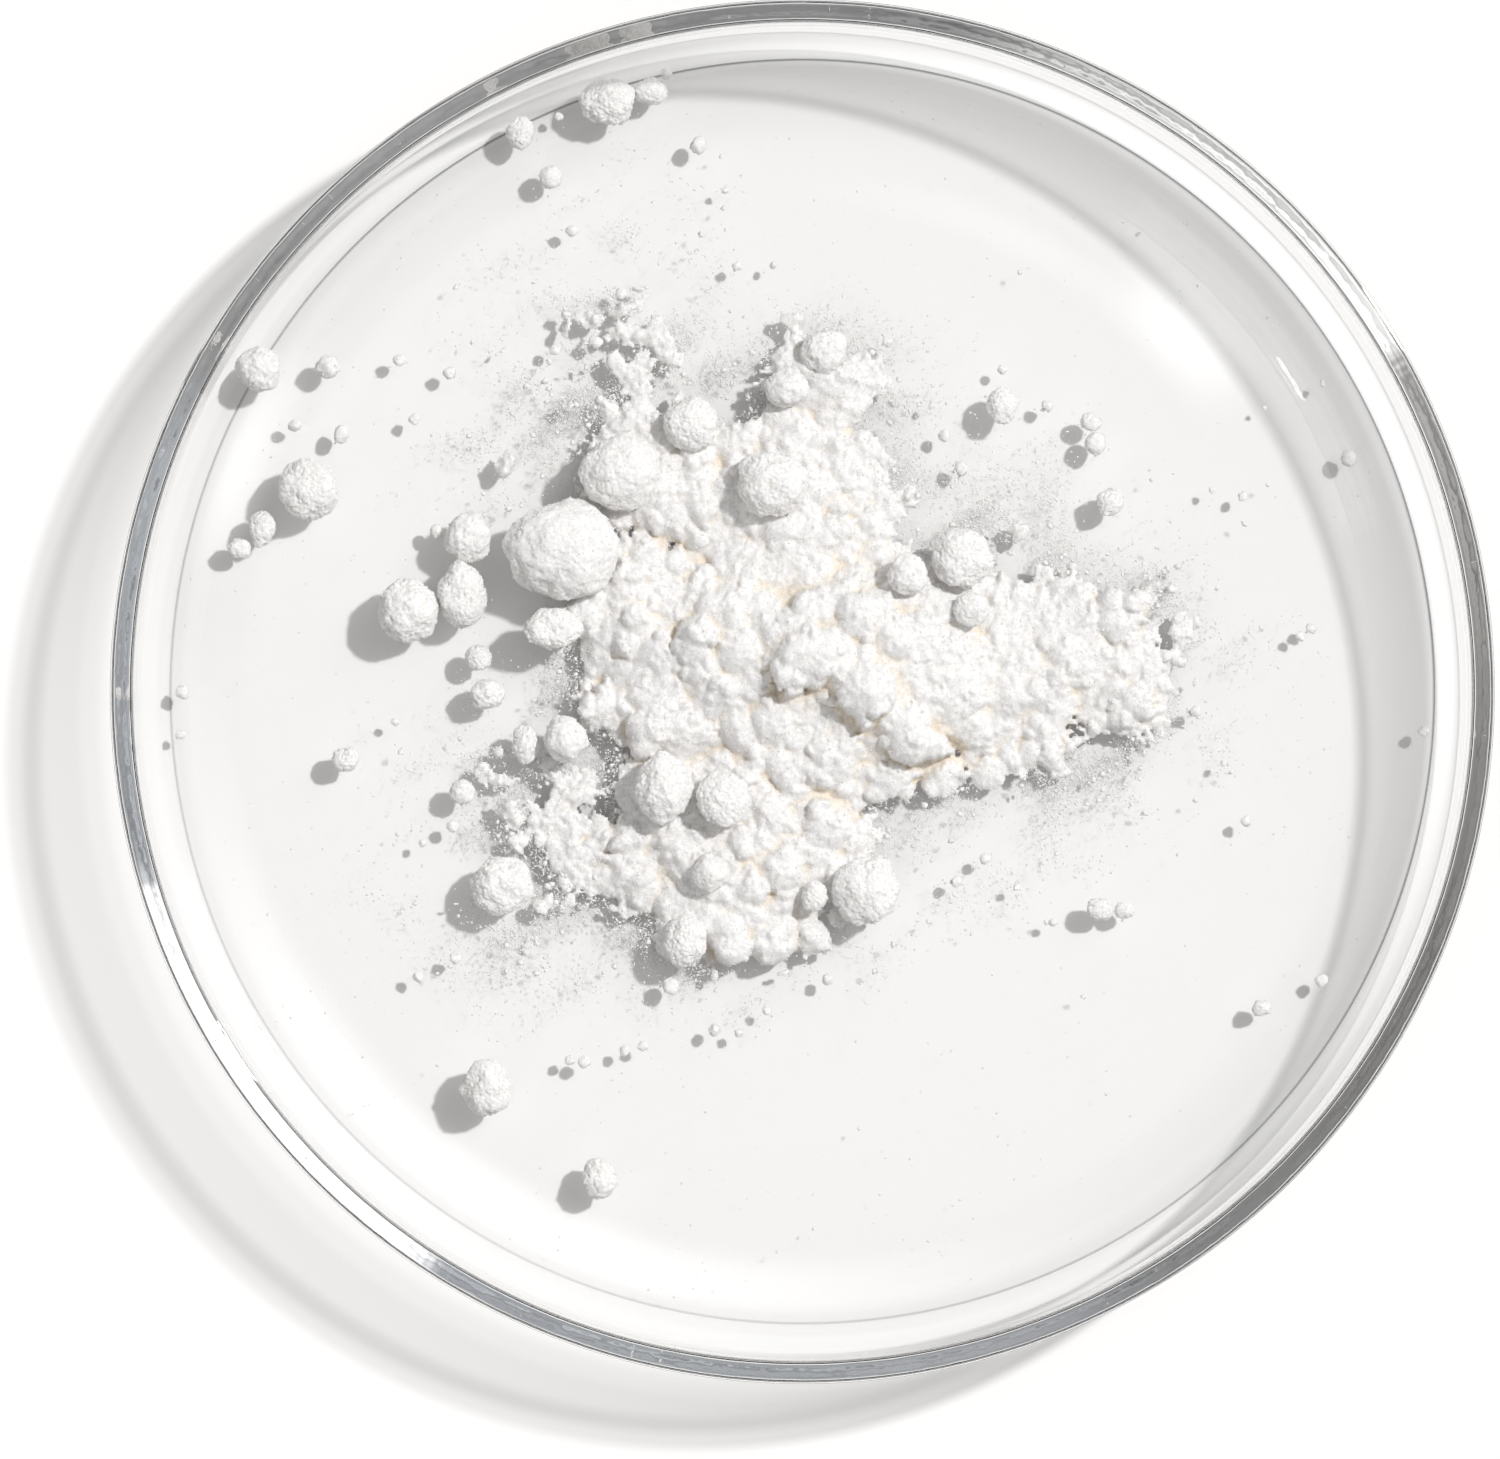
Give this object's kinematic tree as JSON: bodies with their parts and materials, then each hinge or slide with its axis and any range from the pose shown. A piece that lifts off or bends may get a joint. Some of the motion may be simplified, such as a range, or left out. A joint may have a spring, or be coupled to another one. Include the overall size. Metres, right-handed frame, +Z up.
{
  "type": "petri dish",
  "caption": "Open round glass petri dish with an upright wall and a slightly domed rim, holding a loose mound, lumps and crumbs of white powder.",
  "frame": {"origin": "centre of the dish, on the surface it stands on", "axes": "+Z up, out of the open mouth; +X to the right and +Y away in the view from above"},
  "size_m": [0.1, 0.1, 0.015],
  "materials": {
    "glass": "gloss",
    "powder": "matte"
  },
  "bodies": {
    "dish": {"dish": "glass"},
    "powder": {"crumbs_left": "powder", "crumbs_lower": "powder", "crumbs_right": "powder", "crumbs_upper": "powder", "lump_left_1": "powder", "lump_left_2": "powder", "lump_left_3": "powder", "lump_left_4": "powder", "lump_left_5": "powder", "lump_left_6": "powder", "lump_left_7": "powder", "lump_left_8": "powder", "lump_left_9": "powder", "lump_lower_1": "powder", "lump_lower_2": "powder", "lump_lower_3": "powder", "lump_lower_4": "powder", "lump_lower_5": "powder", "lump_lower_mound_1": "powder", "lump_lower_mound_2": "powder", "lump_lower_mound_3": "powder", "lump_lower_mound_4": "powder", "lump_lower_mound_5": "powder", "lump_lower_mound_6": "powder", "lump_lower_mound_7": "powder", "lump_lower_mound_8": "powder", "lump_lower_mound_9": "powder", "lump_right_1": "powder", "lump_right_2": "powder", "lump_right_3": "powder", "lump_right_4": "powder", "lump_right_5": "powder", "lump_right_6": "powder", "lump_right_7": "powder", "lump_upper_mound_1": "powder", "lump_upper_mound_2": "powder", "lump_upper_mound_3": "powder", "lump_upper_mound_4": "powder", "lump_upper_mound_5": "powder", "lump_upper_mound_6": "powder", "lump_upper_mound_7": "powder", "lump_upper_mound_8": "powder", "lump_upper_mound_9": "powder", "lump_wall_1": "powder", "lump_wall_2": "powder", "lump_wall_3": "powder", "lump_wall_4": "powder", "lump_wall_5": "powder", "powder_mound": "powder"}
  },
  "joints": [
    {"name": "powder_lift_out", "type": "slide", "parent": "dish", "child": "powder", "axis": [0, 0, 1], "range_m": [0, 0.025]}
  ]
}
